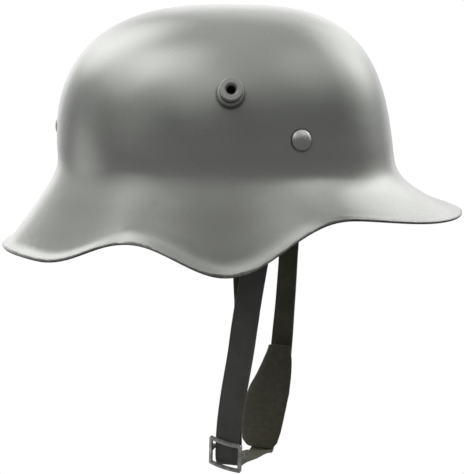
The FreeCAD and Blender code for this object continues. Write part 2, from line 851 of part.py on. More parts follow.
dome_outside = dome_form(-fit_gap)
lug_turn = turn_at(0, lug_rise)
lug_places = {"right": seat(-lug_turn, lug_rise), "left": seat(lug_turn, lug_rise)}
rivet_turn = turn_at(rivet_ahead, 0)
rivet_places = {"right": seat(-rivet_turn, 0), "left": seat(rivet_turn, 0), "rear": seat(math.pi, 0)}
lug_holes = [placed(rod(lug_shank_radius + fit_gap, -2 * overrun, overrun), place)
             for place in lug_places.values()]
rivet_holes = [placed(rod(rivet_shank_radius + fit_gap, -2 * overrun, overrun), place)
               for place in rivet_places.values()]
write("shell", make_shell(lug_holes + rivet_holes))
for side, place in lug_places.items():
    write("lug_" + side, make_lug(place, dome_outside))
    write("lug_washer_" + side, make_lug_washer(place))
for side, place in rivet_places.items():
    write("liner_rivet_" + side, make_liner_rivet(place, dome_outside))
write("liner_washers", *[make_liner_washer(place) for place in rivet_places.values()])

rivet_azimuth = math.atan2(rivet_places["left"].Base.y, rivet_places["left"].Base.x + dome_back)
half_gap = pad_gap / 2 / dome_half_length
front_span = (half_gap - rivet_azimuth, rivet_azimuth - half_gap)
rear_span = (rivet_azimuth + half_gap, math.pi - half_gap)
front_pins = list(pad_rivet_places(*front_span))
rear_pins = list(pad_rivet_places(*rear_span))
front_holes = [pad_rivet_hole(*pin) for pin in front_pins]
rear_holes = [pad_rivet_hole(*pin) for pin in rear_pins]
rear_rivets = [make_pad_rivet(*pin) for pin in rear_pins]
write("pad_front", make_pad(*front_span, front_holes))
rear_pad = make_pad(*rear_span, rear_holes)
write("pad_rear_left", rear_pad)
write("pad_rear_right", mirrored(rear_pad))
write("pad_rivets", *[make_pad_rivet(*pin) for pin in front_pins], *rear_rivets,
      *[mirrored(rivet) for rivet in rear_rivets])

bracket_holes = [bracket_rivet_hole(place) for place in bracket_rivet_places()]
bracket = make_bracket(bracket_holes)
write("strap_bracket_right", bracket)
write("strap_bracket_left", mirrored(bracket))
bracket_rivets = [make_bracket_rivet(place) for place in bracket_rivet_places()]
write("bracket_rivets", *bracket_rivets, *[mirrored(rivet) for rivet in bracket_rivets])
mirrored_holes = [mirrored(hole) for hole in rear_holes + bracket_holes]
write("liner_band", make_band(rivet_holes + front_holes + rear_holes + bracket_holes + mirrored_holes))

lug_recess = placed(rod(lug_washer_radius + seat_gap, -lug_flare_top - washer_thickness - seat_gap, 0),
                    lug_places["left"])
cushions = {"front": finger_azimuths(*front_span)[1], "side": finger_azimuths(*rear_span)[0],
            "rear": finger_azimuths(*rear_span)[1]}
for name, azimuth in cushions.items():
    cushion = make_cushion(azimuth).cut(lug_recess)
    write("cushion_" + name + "_left", cushion)
    write("cushion_" + name + "_right", mirrored(cushion))

write("strap_link_left", mirrored(make_link()))
write("snap_hook", make_hook())
write("hook_gate", make_gate())
write("hook_gate_pin", make_gate_pin())
path = strap_curve()
stops = strap_stops(path)
write("chinstrap", make_chinstrap(strap_frames(path, stops), stops))
write("chin_pad", make_chin_pad(path, stops))
write("slide_buckle", make_buckle(path, stops))
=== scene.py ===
import json
import math
import random

import bmesh
import bpy
import numpy as np
from mathutils import Matrix, Vector


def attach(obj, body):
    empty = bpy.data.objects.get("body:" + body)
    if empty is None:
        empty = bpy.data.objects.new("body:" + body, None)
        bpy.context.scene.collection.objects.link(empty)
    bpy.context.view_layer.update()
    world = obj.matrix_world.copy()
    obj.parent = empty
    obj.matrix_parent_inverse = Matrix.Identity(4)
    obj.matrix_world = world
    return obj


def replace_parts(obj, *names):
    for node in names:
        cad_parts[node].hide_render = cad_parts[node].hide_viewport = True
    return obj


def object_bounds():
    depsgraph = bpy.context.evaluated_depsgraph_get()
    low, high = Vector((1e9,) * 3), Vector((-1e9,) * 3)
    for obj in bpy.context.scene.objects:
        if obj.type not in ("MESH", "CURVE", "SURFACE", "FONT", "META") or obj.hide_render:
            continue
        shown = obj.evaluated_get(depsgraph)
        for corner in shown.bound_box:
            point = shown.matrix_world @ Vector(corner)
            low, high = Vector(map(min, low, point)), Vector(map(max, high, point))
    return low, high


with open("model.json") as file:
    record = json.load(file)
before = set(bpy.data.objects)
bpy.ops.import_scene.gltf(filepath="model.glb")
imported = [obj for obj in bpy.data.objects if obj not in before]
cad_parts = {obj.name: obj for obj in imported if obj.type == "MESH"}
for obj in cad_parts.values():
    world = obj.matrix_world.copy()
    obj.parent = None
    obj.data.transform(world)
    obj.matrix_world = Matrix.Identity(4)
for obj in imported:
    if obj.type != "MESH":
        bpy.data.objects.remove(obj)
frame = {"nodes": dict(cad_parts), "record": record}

# Metres. +X points to the peak, +Y to the wearer's left, +Z to the crown.
cadLow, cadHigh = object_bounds()
nodes = frame["nodes"]
scene = bpy.context.scene
print("stage: frame loaded,", len(nodes), "nodes")


# Camera, level with the photograph: the wearer's right side, a little from the front and above
cameraSettings = {
    "aim": (-0.0077, 0.0, -0.0749),
    "azimuth": 5.3,
    "elevation": 9.4,
    "distance": 1.1,
    "focalPixels": 1629.6,
    "longSide": 474,
    "sensor": 36.0,
}


def makeCamera(settings):
    data = bpy.data.cameras.new("camera")
    data.sensor_width = settings["sensor"]
    data.lens = settings["focalPixels"] / settings["longSide"] * settings["sensor"]
    data.clip_start = 0.01
    data.clip_end = 50
    a, e = math.radians(settings["azimuth"]), math.radians(settings["elevation"])
    back = Vector((math.sin(a) * math.cos(e), -math.cos(a) * math.cos(e), math.sin(e)))
    camera = bpy.data.objects.new("camera", data)
    camera.location = Vector(settings["aim"]) + back * settings["distance"]
    camera.rotation_mode = "QUATERNION"
    camera.rotation_quaternion = (-back).to_track_quat("-Z", "Y")
    scene.collection.objects.link(camera)
    scene.camera = camera


makeCamera(cameraSettings)
print("stage: camera")


# The helmet's forms, as the solids have them
formSettings = {
    "crownRise": 0.0805,
    "breakDrop": 0.0195,
    "back": 0.014,
    "halfLength": 0.1122,
    "halfWidth": 0.101,
    "egg": 0.0021,
    "sidePower": 2.6,
    "frontPower": 0.37,
    "endPower": 0.26,
    "wallLean": 0.03,
    "frontLean": 0.08,
    "sheet": 0.0012,
    "headCrown": 0.062,
    "headBottom": -0.003,
    "headInset": 0.0049,
    "leather": 0.0018,
}


def domePoint(turn, height, inset=0.0):
    f = formSettings
    c = math.cos(turn)
    share = (height + f["breakDrop"]) / (f["crownRise"] - inset + f["breakDrop"])
    power = f["sidePower"] + f["frontPower"] * c + f["endPower"] * c * c
    reach = (1 - share ** power) ** (1 / power) * (1 - (f["wallLean"] + f["frontLean"] * c) * share)
    x = reach * ((f["halfLength"] - inset) * c + f["egg"] * c * c) - f["back"]
    return Vector((x, reach * (f["halfWidth"] - inset) * math.sin(turn), height))


def headPoint(turn, height, out=0.0):
    f = formSettings
    share = (height - f["headBottom"]) / (f["headCrown"] + out - f["headBottom"])
    base = domePoint(turn, f["headBottom"], f["headInset"] - out)
    reach = math.sqrt(max(1 - share * share, 0))
    return Vector(((base.x + f["back"]) * reach - f["back"], base.y * reach, height))


# A place on the dome: the point, and axes level along it, up it and out of the steel
def steelSeat(turn, height):
    step = 0.0002
    along = domePoint(turn + step, height) - domePoint(turn - step, height)
    rise = domePoint(turn, height + step) - domePoint(turn, height - step)
    out = along.cross(rise).normalized()
    along = (along - out * along.dot(out)).normalized()
    return domePoint(turn, height), Matrix((along, out.cross(along), out)).transposed()


def turnAt(ahead, height):
    low, high = 0.0, math.pi
    for _ in range(40):
        middle = (low + high) / 2
        low, high = (middle, high) if domePoint(middle, height).x > ahead else (low, middle)
    return low


# Mesh helpers
def newObject(name, mesh, body, material):
    piece = bpy.data.objects.new(name, mesh)
    scene.collection.objects.link(piece)
    if material:
        mesh.materials.append(material)
    for face in mesh.polygons:
        face.use_smooth = True
    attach(piece, body)
    return piece


def sweptMesh(name, rings, closedEnds=True, joined=False):
    mesh = bpy.data.meshes.new(name)
    count = len(rings[0])
    points = [tuple(p) for ringPoints in rings for p in ringPoints]
    faces = []
    for i in range(len(rings) - 1 + joined):
        after = (i + 1) % len(rings)
        for j in range(count):
            k = (j + 1) % count
            faces.append((i * count + j, i * count + k, after * count + k, after * count + j))
    if closedEnds:
        faces.append(tuple(reversed(range(count))))
        faces.append(tuple((len(rings) - 1) * count + j for j in range(count)))
    mesh.from_pydata(points, [], faces)
    fixed = bmesh.new()
    fixed.from_mesh(mesh)
    bmesh.ops.recalc_face_normals(fixed, faces=fixed.faces)
    fixed.to_mesh(mesh)
    fixed.free()
    return mesh


def addModifier(piece, kind, **settings):
    modifier = piece.modifiers.new(kind.lower(), kind)
    for key, value in settings.items():
        setattr(modifier, key, value)
    return modifier


def joinMeshes(name, meshes):
    joined = bmesh.new()
    for mesh in meshes:
        joined.from_mesh(mesh)
        bpy.data.meshes.remove(mesh)
    whole = bpy.data.meshes.new(name)
    joined.to_mesh(whole)
    joined.free()
    return whole


# Node helpers
def addNode(tree, kind, inputs=None, **settings):
    node = tree.nodes.new(kind)
    for key, value in settings.items():
        setattr(node, key, value)
    for key, value in (inputs or {}).items():
        node.inputs[key].default_value = value
    return node


def newGroup(name, inputs, outputs):
    group = bpy.data.node_groups.new(name, "ShaderNodeTree")
    for label, value in inputs.items():
        kind = "NodeSocketVector" if isinstance(value, tuple) else "NodeSocketFloat"
        socket = group.interface.new_socket(name=label, in_out="INPUT", socket_type=kind)
        socket.default_value = value
    for label in outputs:
        group.interface.new_socket(name=label, in_out="OUTPUT", socket_type="NodeSocketFloat")
    return group, group.nodes.new("NodeGroupInput"), group.nodes.new("NodeGroupOutput")


def useGroup(tree, group, **values):
    node = tree.nodes.new("ShaderNodeGroup")
    node.node_tree = group
    for key, value in values.items():
        node.inputs[key].default_value = value
    return node


def colour(red, green, blue):
    return (red, green, blue, 1.0)


# Paint texture: a fine mottle, a broad cloud and a low orange peel
def makePaintTexture():
    group, start, end = newGroup(
        "paintTexture", {"Fine Scale": 1400.0, "Cloud Scale": 28.0}, ("Mottle", "Cloud", "Height"))
    place = addNode(group, "ShaderNodeTexCoord")
    fine = addNode(group, "ShaderNodeTexNoise", {"Detail": 3.0, "Roughness": 0.6})
    cloud = addNode(group, "ShaderNodeTexNoise", {"Detail": 4.0, "Roughness": 0.55})
    peel = addNode(group, "ShaderNodeMath", {1: 0.35}, operation="MULTIPLY")
    both = addNode(group, "ShaderNodeMath", operation="MULTIPLY_ADD")
    both.inputs[1].default_value = 0.25
    link = group.links.new
    link(place.outputs["Object"], fine.inputs["Vector"])
    link(place.outputs["Object"], cloud.inputs["Vector"])
    link(start.outputs["Fine Scale"], fine.inputs["Scale"])
    link(start.outputs["Cloud Scale"], cloud.inputs["Scale"])
    link(fine.outputs["Fac"], end.inputs["Mottle"])
    link(cloud.outputs["Fac"], end.inputs["Cloud"])
    link(fine.outputs["Fac"], peel.inputs[0])
    link(cloud.outputs["Fac"], both.inputs[0])
    link(peel.outputs[0], both.inputs[2])
    link(both.outputs[0], end.inputs["Height"])
    return group


# Worn edges, and on the shell's rim an edge of painted shade: where the surface turns sharply outwards,
# broken up by noise
def makeEdgeWearAndShade():
    group, start, end = newGroup(
        "edgeWearAndShade", {"Level": 0.53, "Width": 0.05, "Bare Below": 0.3, "Noise Scale": 220.0}, ("Mask",))
    place = addNode(group, "ShaderNodeTexCoord")
    shape = addNode(group, "ShaderNodeNewGeometry")
    noise = addNode(group, "ShaderNodeTexNoise", {"Detail": 3.0})
    high = addNode(group, "ShaderNodeMath", operation="ADD")
    edge = addNode(group, "ShaderNodeMapRange", interpolation_type="SMOOTHSTEP")
    broken = addNode(group, "ShaderNodeMapRange", {"From Max": 0.65})
    mask = addNode(group, "ShaderNodeMath", operation="MULTIPLY", use_clamp=True)
    link = group.links.new
    link(place.outputs["Object"], noise.inputs["Vector"])
    link(start.outputs["Noise Scale"], noise.inputs["Scale"])
    link(shape.outputs["Pointiness"], edge.inputs["Value"])
    link(start.outputs["Level"], edge.inputs["From Min"])
    link(start.outputs["Level"], high.inputs[0])
    link(start.outputs["Width"], high.inputs[1])
    link(start.outputs["Bare Below"], broken.inputs["From Min"])
    link(high.outputs[0], edge.inputs["From Max"])
    link(noise.outputs["Fac"], broken.inputs["Value"])
    link(edge.outputs["Result"], mask.inputs[0])
    link(broken.outputs["Result"], mask.inputs[1])
    link(mask.outputs[0], end.inputs["Mask"])
    return group


# Grime and painted shade on the steel round a fitting, alike on both sides
def makeFittingGrimeAndShade():
    group, start, end = newGroup(
        "fittingGrimeAndShade", {"Place": (0.0, 0.0, 0.0), "Near": 0.008, "Far": 0.011}, ("Mask",))
    place = addNode(group, "ShaderNodeTexCoord")
    side = addNode(group, "ShaderNodeVectorMath", operation="ABSOLUTE")
    split = addNode(group, "ShaderNodeSeparateXYZ")
    splitSide = addNode(group, "ShaderNodeSeparateXYZ")
    folded = addNode(group, "ShaderNodeCombineXYZ")
    away = addNode(group, "ShaderNodeVectorMath", operation="DISTANCE")
    ring = addNode(group, "ShaderNodeMapRange", {"To Min": 1.0, "To Max": 0.0},
                   interpolation_type="SMOOTHSTEP")
    noise = addNode(group, "ShaderNodeTexNoise", {"Scale": 500.0, "Detail": 3.0})
    broken = addNode(group, "ShaderNodeMapRange",
                     {"From Min": 0.3, "From Max": 0.7, "To Min": 0.55, "To Max": 1.0})
    mask = addNode(group, "ShaderNodeMath", operation="MULTIPLY", use_clamp=True)
    link = group.links.new
    link(place.outputs["Object"], side.inputs[0])
    link(place.outputs["Object"], split.inputs[0])
    link(place.outputs["Object"], noise.inputs["Vector"])
    link(side.outputs["Vector"], splitSide.inputs[0])
    link(split.outputs["X"], folded.inputs["X"])
    link(splitSide.outputs["Y"], folded.inputs["Y"])
    link(split.outputs["Z"], folded.inputs["Z"])
    link(folded.outputs[0], away.inputs[0])
    link(start.outputs["Place"], away.inputs[1])
    link(start.outputs["Near"], ring.inputs["From Min"])
    link(start.outputs["Far"], ring.inputs["From Max"])
    link(away.outputs["Value"], ring.inputs["Value"])
    link(noise.outputs["Fac"], broken.inputs["Value"])
    link(ring.outputs["Result"], mask.inputs[0])
    link(broken.outputs["Result"], mask.inputs[1])
    link(mask.outputs[0], end.inputs["Mask"])
    return group


# Leather: small cells with folds between them, and a slow change of tone
def makeLeatherGrain():
    group, start, end = newGroup(
        "leatherGrain", {"Cell Scale": 900.0, "Tone Scale": 60.0}, ("Tone", "Height"))
    place = addNode(group, "ShaderNodeTexCoord")
    cells = addNode(group, "ShaderNodeTexVoronoi", feature="SMOOTH_F1")
    folds = addNode(group, "ShaderNodeTexNoise", {"Detail": 4.0, "Roughness": 0.65})
    tone = addNode(group, "ShaderNodeTexNoise", {"Detail": 5.0, "Roughness": 0.6})
    mix = addNode(group, "ShaderNodeMath", {1: 0.6}, operation="MULTIPLY_ADD")
    third = addNode(group, "ShaderNodeMath", {1: 0.33}, operation="MULTIPLY")
    link = group.links.new
    for texture in (cells, folds, tone):
        link(place.outputs["Object"], texture.inputs["Vector"])
    link(start.outputs["Cell Scale"], cells.inputs["Scale"])
    link(start.outputs["Cell Scale"], third.inputs[0])
    link(third.outputs[0], folds.inputs["Scale"])
    link(start.outputs["Tone Scale"], tone.inputs["Scale"])
    link(cells.outputs["Distance"], mix.inputs[0])
    link(folds.outputs["Fac"], mix.inputs[2])
    link(mix.outputs[0], end.inputs["Height"])
    link(tone.outputs["Fac"], end.inputs["Tone"])
    return group


# Plain weave from two crossed bands
def makeWeave():
    group, start, end = newGroup("plainWeave", {"Thread Scale": 260.0}, ("Height", "Tone"))
    place = addNode(group, "ShaderNodeTexCoord")
    warp = addNode(group, "ShaderNodeTexWave", {"Distortion": 0.6, "Detail": 1.0}, bands_direction="X")
    weft = addNode(group, "ShaderNodeTexWave", {"Distortion": 0.6, "Detail": 1.0}, bands_direction="Z")
    tone = addNode(group, "ShaderNodeTexNoise", {"Scale": 90.0, "Detail": 4.0})
    top = addNode(group, "ShaderNodeMath", operation="MAXIMUM")
    link = group.links.new
    for texture in (warp, weft, tone):
        link(place.outputs["Object"], texture.inputs["Vector"])
    link(start.outputs["Thread Scale"], warp.inputs["Scale"])
    link(start.outputs["Thread Scale"], weft.inputs["Scale"])
    link(warp.outputs["Fac"], top.inputs[0])
    link(weft.outputs["Fac"], top.inputs[1])
    link(top.outputs[0], end.inputs["Height"])
    link(tone.outputs["Fac"], end.inputs["Tone"])
    return group


paintTexture = makePaintTexture()
edgeWearAndShade = makeEdgeWearAndShade()
fittingGrimeAndShade = makeFittingGrimeAndShade()
leatherGrain = makeLeatherGrain()
plainWeave = makeWeave()


def newMaterial(name, roughness, metallic=0.0, specular=0.5, sheen=0.0):
    material = bpy.data.materials.new(name)
    material.use_nodes = True
    tree = material.node_tree
    shader = tree.nodes["Principled BSDF"]
    shader.inputs["Roughness"].default_value = roughness
    shader.inputs["Metallic"].default_value = metallic
    shader.inputs["Specular IOR Level"].default_value = specular
    shader.inputs["Sheen Weight"].default_value = sheen
    return material, tree, shader


def mixColours(tree, factor, first, second):
    mix = addNode(tree, "ShaderNodeMix", data_type="RGBA")
    tree.links.new(factor, mix.inputs["Factor"])
    for socket, value in ((mix.inputs[6], first), (mix.inputs[7], second)):
        if isinstance(value, tuple):
            socket.default_value = value
        else:
            tree.links.new(value, socket)
    return mix.outputs[2]


def spread(tree, value, low, high, fromLow=0.3, fromHigh=0.7, kind="LINEAR"):
    node = addNode(tree, "ShaderNodeMapRange",
                   {"From Min": fromLow, "From Max": fromHigh, "To Min": low, "To Max": high},
                   interpolation_type=kind)
    tree.links.new(value, node.inputs["Value"])
    return node.outputs["Result"]


def addBump(tree, shader, height, strength, distance):
    bump = addNode(tree, "ShaderNodeBump", {"Strength": strength, "Distance": distance})
    tree.links.new(height, bump.inputs["Height"])
    tree.links.new(bump.outputs["Normal"], shader.inputs["Normal"])


paintSettings = {
    "dark": colour(0.262, 0.270, 0.250),
    "light": colour(0.298, 0.306, 0.286),
    # the shell's edge colour is painted shade, darkening the rim's cut edge
    "wornAndShaded": colour(0.055, 0.055, 0.050),
    "grimeAndShade": colour(0.045, 0.047, 0.042),
    "metallic": 0.64,
    "specular": 0.6,
    "rough": 0.34,
    "roughLow": 0.25,
    "roughHigh": 0.31,
    "fleckShare": 0.25,
    "bump": 0.12,
    "bumpDepth": 0.0002,
    "wearAndShadeLevel": 0.515,
    "wearAndShadeWidth": 0.016,
    "bareBelow": -0.6,
    # middle height, reach and colour: painted shade darkens the dome's wall, and painted light pales the
    # top of the flare
    "paintedShadeAndLightBands": (
        (0.018, 0.026, colour(0.228, 0.236, 0.219)),
        (-0.029, 0.019, colour(0.352, 0.362, 0.338)),
    ),
    # the cut edge, darkened with painted shade, lies below these heights, and every drilled hole above them
    "rimHeights": (-0.022, -0.016),
    # grime and painted shade round the lugs and the liner rivets: place ahead, height, full radius, last
    # radius
    "fittings": ((0.0, 0.0282, 0.0082, 0.0102), (0.043, 0.0, 0.0064, 0.0082)),
}


def heightOf(tree):
    place = addNode(tree, "ShaderNodeTexCoord")
    split = addNode(tree, "ShaderNodeSeparateXYZ")
    tree.links.new(place.outputs["Object"], split.inputs[0])
    return split.outputs["Z"]


# A mask that is full at a height and fades out over its reach, above and below
def heightBand(tree, middle, reach):
    away = addNode(tree, "ShaderNodeMath", {1: middle}, operation="SUBTRACT")
    size = addNode(tree, "ShaderNodeMath", operation="ABSOLUTE")
    tree.links.new(heightOf(tree), away.inputs[0])
    tree.links.new(away.outputs[0], size.inputs[0])
    return spread(tree, size.outputs[0], 1.0, 0.0, 0.0, reach, "SMOOTHSTEP")


# A mask that fades out above a height
def keptLow(tree, mask, full, gone):
    kept = addNode(tree, "ShaderNodeMath", operation="MULTIPLY", use_clamp=True)
    tree.links.new(mask, kept.inputs[0])
    tree.links.new(spread(tree, heightOf(tree), 1.0, 0.0, full, gone), kept.inputs[1])
    return kept.outputs[0]


def makePaint(name, s, withShadeAndGrime):
    material, tree, shader = newMaterial(name, s["rough"], s["metallic"], s["specular"])
    texture = useGroup(tree, paintTexture)
    wearAndShade = useGroup(tree, edgeWearAndShade, Level=s["wearAndShadeLevel"], Width=s["wearAndShadeWidth"],
                    **{"Bare Below": s["bareBelow"]})
    base = mixColours(tree, texture.outputs["Cloud"], s["dark"], s["light"])
    flecks = spread(tree, texture.outputs["Mottle"], 0.0, s["fleckShare"])
    fleck = mixColours(tree, flecks, base, s["light"])
    wornAndShaded = wearAndShade.outputs["Mask"]
    if withShadeAndGrime:
        # painted shade on the dome's wall and painted light on the top of the flare
        for middle, reach, tone in s["paintedShadeAndLightBands"]:
            fleck = mixColours(tree, heightBand(tree, middle, reach), fleck, tone)
        wornAndShaded = keptLow(tree, wornAndShaded, *s["rimHeights"])
    # edge colour: worn paint on the lug, painted shade on the shell's cut edge
    finished = mixColours(tree, wornAndShaded, fleck, s["wornAndShaded"])
    # a dark ring round each fitting: grime, and painted shade where the fittings shade the steel
    for ahead, height, near, far in s["fittings"] if withShadeAndGrime else ():
        seat = domePoint(turnAt(ahead, height), height)
        ring = useGroup(tree, fittingGrimeAndShade, Place=tuple(seat), Near=near, Far=far)
        finished = mixColours(tree, ring.outputs["Mask"], finished, s["grimeAndShade"])
    tree.links.new(finished, shader.inputs["Base Color"])
    rough = spread(tree, texture.outputs["Cloud"], s["roughLow"], s["roughHigh"])
    tree.links.new(rough, shader.inputs["Roughness"])
    addBump(tree, shader, texture.outputs["Height"], s["bump"], s["bumpDepth"])
    return material


steelSettings = {
    "dark": colour(0.20, 0.205, 0.205),
    "light": colour(0.34, 0.345, 0.34),
    "bright": colour(0.62, 0.62, 0.60),
    "metallic": 0.75,
    "rough": 0.42,
    "roughLow": 0.34,
    "roughHigh": 0.52,
    "wearAndShadeLevel": 0.54,
    "fineScale": 900.0,
    "cloudScale": 120.0,
    "bump": 0.15,
    "bumpDepth": 0.0002,
}
rivetSteelSettings = dict(
    steelSettings, dark=colour(0.30, 0.305, 0.30), light=colour(0.50, 0.505, 0.49),
    bright=colour(0.80, 0.80, 0.78), metallic=0.95, roughLow=0.20, roughHigh=0.34)


def makeSteel(name, s):
    material, tree, shader = newMaterial(name, s["rough"], s["metallic"])
    texture = useGroup(tree, paintTexture, **{"Fine Scale": s["fineScale"], "Cloud Scale": s["cloudScale"]})
    wearAndShade = useGroup(tree, edgeWearAndShade, Level=s["wearAndShadeLevel"])
    base = mixColours(tree, texture.outputs["Cloud"], s["dark"], s["light"])
    finished = mixColours(tree, wearAndShade.outputs["Mask"], base, s["bright"])
    tree.links.new(finished, shader.inputs["Base Color"])
    rough = spread(tree, texture.outputs["Mottle"], s["roughLow"], s["roughHigh"])
    tree.links.new(rough, shader.inputs["Roughness"])
    addBump(tree, shader, texture.outputs["Height"], s["bump"], s["bumpDepth"])
    return material


# What all leathers share, and what sets each apart
leatherShared = {
    "specular": 0.35,
    "roughSpread": 0.07,
    "bump": 0.5,
    "toneScale": 60.0,
    "sheen": 0.0,
}
leatherSettings = {
    # near-black for the lug's grooves: grime and painted shade in the recesses
    "grooveGrimeAndShade": dict(
        dark=colour(0.020, 0.021, 0.019), light=colour(0.05, 0.05, 0.045),
        rough=0.8, cellScale=1800.0, bumpDepth=0.0001),
    "strapLeather": dict(
        dark=colour(0.061, 0.062, 0.058), light=colour(0.089, 0.090, 0.083),
        rough=0.55, cellScale=1500.0, bumpDepth=0.00012),
    "strapEdgeLeather": dict(
        dark=colour(0.085, 0.085, 0.068), light=colour(0.14, 0.137, 0.11),
        rough=0.7, cellScale=1200.0, bumpDepth=0.00015),
    "strapFleshSide": dict(
        dark=colour(0.060, 0.059, 0.040), light=colour(0.092, 0.089, 0.062),
        rough=0.88, cellScale=1300.0, bumpDepth=0.0002),
    "padSuede": dict(
        dark=colour(0.070, 0.066, 0.047), light=colour(0.106, 0.099, 0.072),
        rough=0.9, cellScale=1100.0, bumpDepth=0.0003, toneScale=240.0, sheen=0.25),
    "linerLeather": dict(
        dark=colour(0.20, 0.105, 0.045), light=colour(0.33, 0.19, 0.09),
        rough=0.55, cellScale=700.0, bumpDepth=0.0003),
}


def makeLeather(name, s):
    material, tree, shader = newMaterial(name, s["rough"], specular=s["specular"], sheen=s["sheen"])
    grain = useGroup(tree, leatherGrain, **{"Cell Scale": s["cellScale"], "Tone Scale": s["toneScale"]})
    base = mixColours(tree, spread(tree, grain.outputs["Tone"], 0.0, 1.0), s["dark"], s["light"])
    tree.links.new(base, shader.inputs["Base Color"])
    low, high = s["rough"] - s["roughSpread"], s["rough"] + s["roughSpread"]
    tree.links.new(spread(tree, grain.outputs["Height"], low, high), shader.inputs["Roughness"])
    addBump(tree, shader, grain.outputs["Height"], s["bump"], s["bumpDepth"])
    return material


clothSettings = {
    "dark": colour(0.24, 0.21, 0.14),
    "light": colour(0.36, 0.32, 0.23),
    "rough": 0.9,
    "specular": 0.2,
    "sheen": 0.3,
    "bump": 0.5,
    "bumpDepth": 0.0003,
}


def makeCloth(name, s):
    material, tree, shader = newMaterial(name, s["rough"], specular=s["specular"], sheen=s["sheen"])
    weave = useGroup(tree, plainWeave)
    base = mixColours(tree, spread(tree, weave.outputs["Tone"], 0.0, 1.0), s["dark"], s["light"])
    tree.links.new(base, shader.inputs["Base Color"])
    addBump(tree, shader, weave.outputs["Height"], s["bump"], s["bumpDepth"])
    return material


fieldGreyPaint = makePaint("fieldGreyPaint", paintSettings, True)
lugPaintSettings = dict(paintSettings, wearAndShadeLevel=0.53, wearAndShadeWidth=0.05, bareBelow=0.3,
                        wornAndShaded=colour(0.52, 0.53, 0.51))
lugPaint = makePaint("lugPaint", lugPaintSettings, False)
wornGreySteel = makeSteel("wornGreySteel", steelSettings)
rivetSteel = makeSteel("rivetSteel", rivetSteelSettings)
leathers = {name: makeLeather(name, dict(leatherShared, **own)) for name, own in leatherSettings.items()}
cushionCloth = makeCloth("cushionCloth", clothSettings)
print("stage: materials")


# Every solid gets its finish. The soft ones, the lugs and the liner rivets are replaced further down
slotMaterials = {
    "field_grey_paint": fieldGreyPaint,
    "grey_fittings": wornGreySteel,
    "liner_leather": leathers["linerLeather"],
    "strap_leather": leathers["strapLeather"],
    "cushion_cloth": cushionCloth,
}
for entry in frame["record"]["subparts"]:
    solid = nodes[entry["node"]]
    solid.data.materials.clear()
    solid.data.materials.append(slotMaterials[entry["material_slot"]])
print("stage: solids dressed")


# Chinstrap: one strip of leather on the route of its solid, folded over both bars
strapSettings = {
    "width": 0.0166,
    "thickness": 0.0020,
    "corner": 0.0006,
    # shares of the corner: how far it is cut back, and how near its faces count as cut edge
    "cornerCut": 0.3,
    "edgeReach": 0.9,
    "creaseInset": 0.0016,
    "creaseHalfWidth": 0.0004,
    "creaseDepth": 0.00012,
    "fall": 0.234,
    "setback": 0.032,
    "eye": (0.025, 0.080, -0.022),
    "layerOut": 0.0026,
    "layerGap": 0.0003,
    "spacing": 0.0012,
    # in rings of the sweep: where the layers close up, the turn over a bar, and the folded layers' ends
    "closingRings": 29.0,
    "barRings": 12,
    "pastBuckleRings": 4,
    "linkTailRings": 24,
    # how far the folded layer below the hook lies to one side, and where along the strap
    "slip": 0.0042,
    "slipPlaces": (0.0, 0.026, 0.034, 0.064),
    "hookDrop": 0.0265,
    "linkDrop": 0.0195,
    "hookLean": 11.0,
    "linkLean": 2.0,
    "buckleStation": 8,
    "padBendStation": 17,
    "padTopStation": 21,
    # shares of setback, half eye distance and fall, and the twist in degrees
    "route": (
        (0.29, -1.015, 0.300, 16.0), (0.43, -0.981, 0.408, 14.0), (0.55, -0.944, 0.504, -6.0),
        (0.66, -0.894, 0.598, -16.0), (0.79, -0.831, 0.697, -16.0), (0.895, -0.755, 0.785, -20.0),
        (0.945, -0.690, 0.838, -22.0), (0.985, -0.605, 0.900, -22.0), (0.990, -0.566, 0.927, -22.0),
        (0.965, -0.500, 0.944, -12.0), (0.920, -0.400, 0.9505, -4.0), (0.7375, -0.050, 0.9718, 0.0),
        (0.519, 0.375, 0.9974, 0.0), (0.472, 0.469, 1.0026, 12.0), (0.441, 0.5375, 0.9893, 18.0),
        (0.419, 0.5675, 0.9615, 20.0), (0.384, 0.605, 0.921, 20.0), (0.31, 0.670, 0.853, 20.0),
        (0.18, 0.730, 0.785, 20.0), (0.11, 0.760, 0.737, 20.0), (0.085, 0.790, 0.700, 24.0),
        (0.01, 0.850, 0.556, 33.0), (-0.04, 0.912, 0.425, 36.0), (-0.04, 0.994, 0.299, 24.0)),
}


